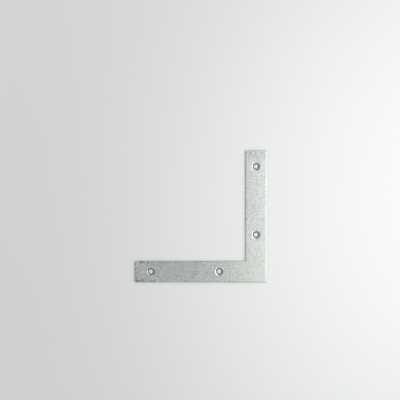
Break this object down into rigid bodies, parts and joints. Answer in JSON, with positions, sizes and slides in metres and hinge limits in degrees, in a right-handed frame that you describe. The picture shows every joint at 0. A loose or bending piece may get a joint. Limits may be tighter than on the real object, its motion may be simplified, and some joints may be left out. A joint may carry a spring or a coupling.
{
  "type": "flat corner brace",
  "caption": "Flat L-shaped plate with equal legs at a right angle and countersunk screw holes along each leg, for fastening the corner of a frame or a cabinet.",
  "frame": {"origin": "on the back face, where the centre lines of the two legs cross, 10 mm in from both outer edges", "axes": "+Z points out of the countersunk face, along the thickness; one leg runs along -X and the other along +Y, so the outer corner is at +X, -Y"},
  "size_m": [0.125, 0.125, 0.002],
  "materials": {
    "zinc_plated_steel": "satin, blue-passivated zinc plating on cold-rolled steel, faintly mottled"
  },
  "bodies": {
    "root": {"corner_brace": "zinc_plated_steel"}
  },
  "joints": []
}
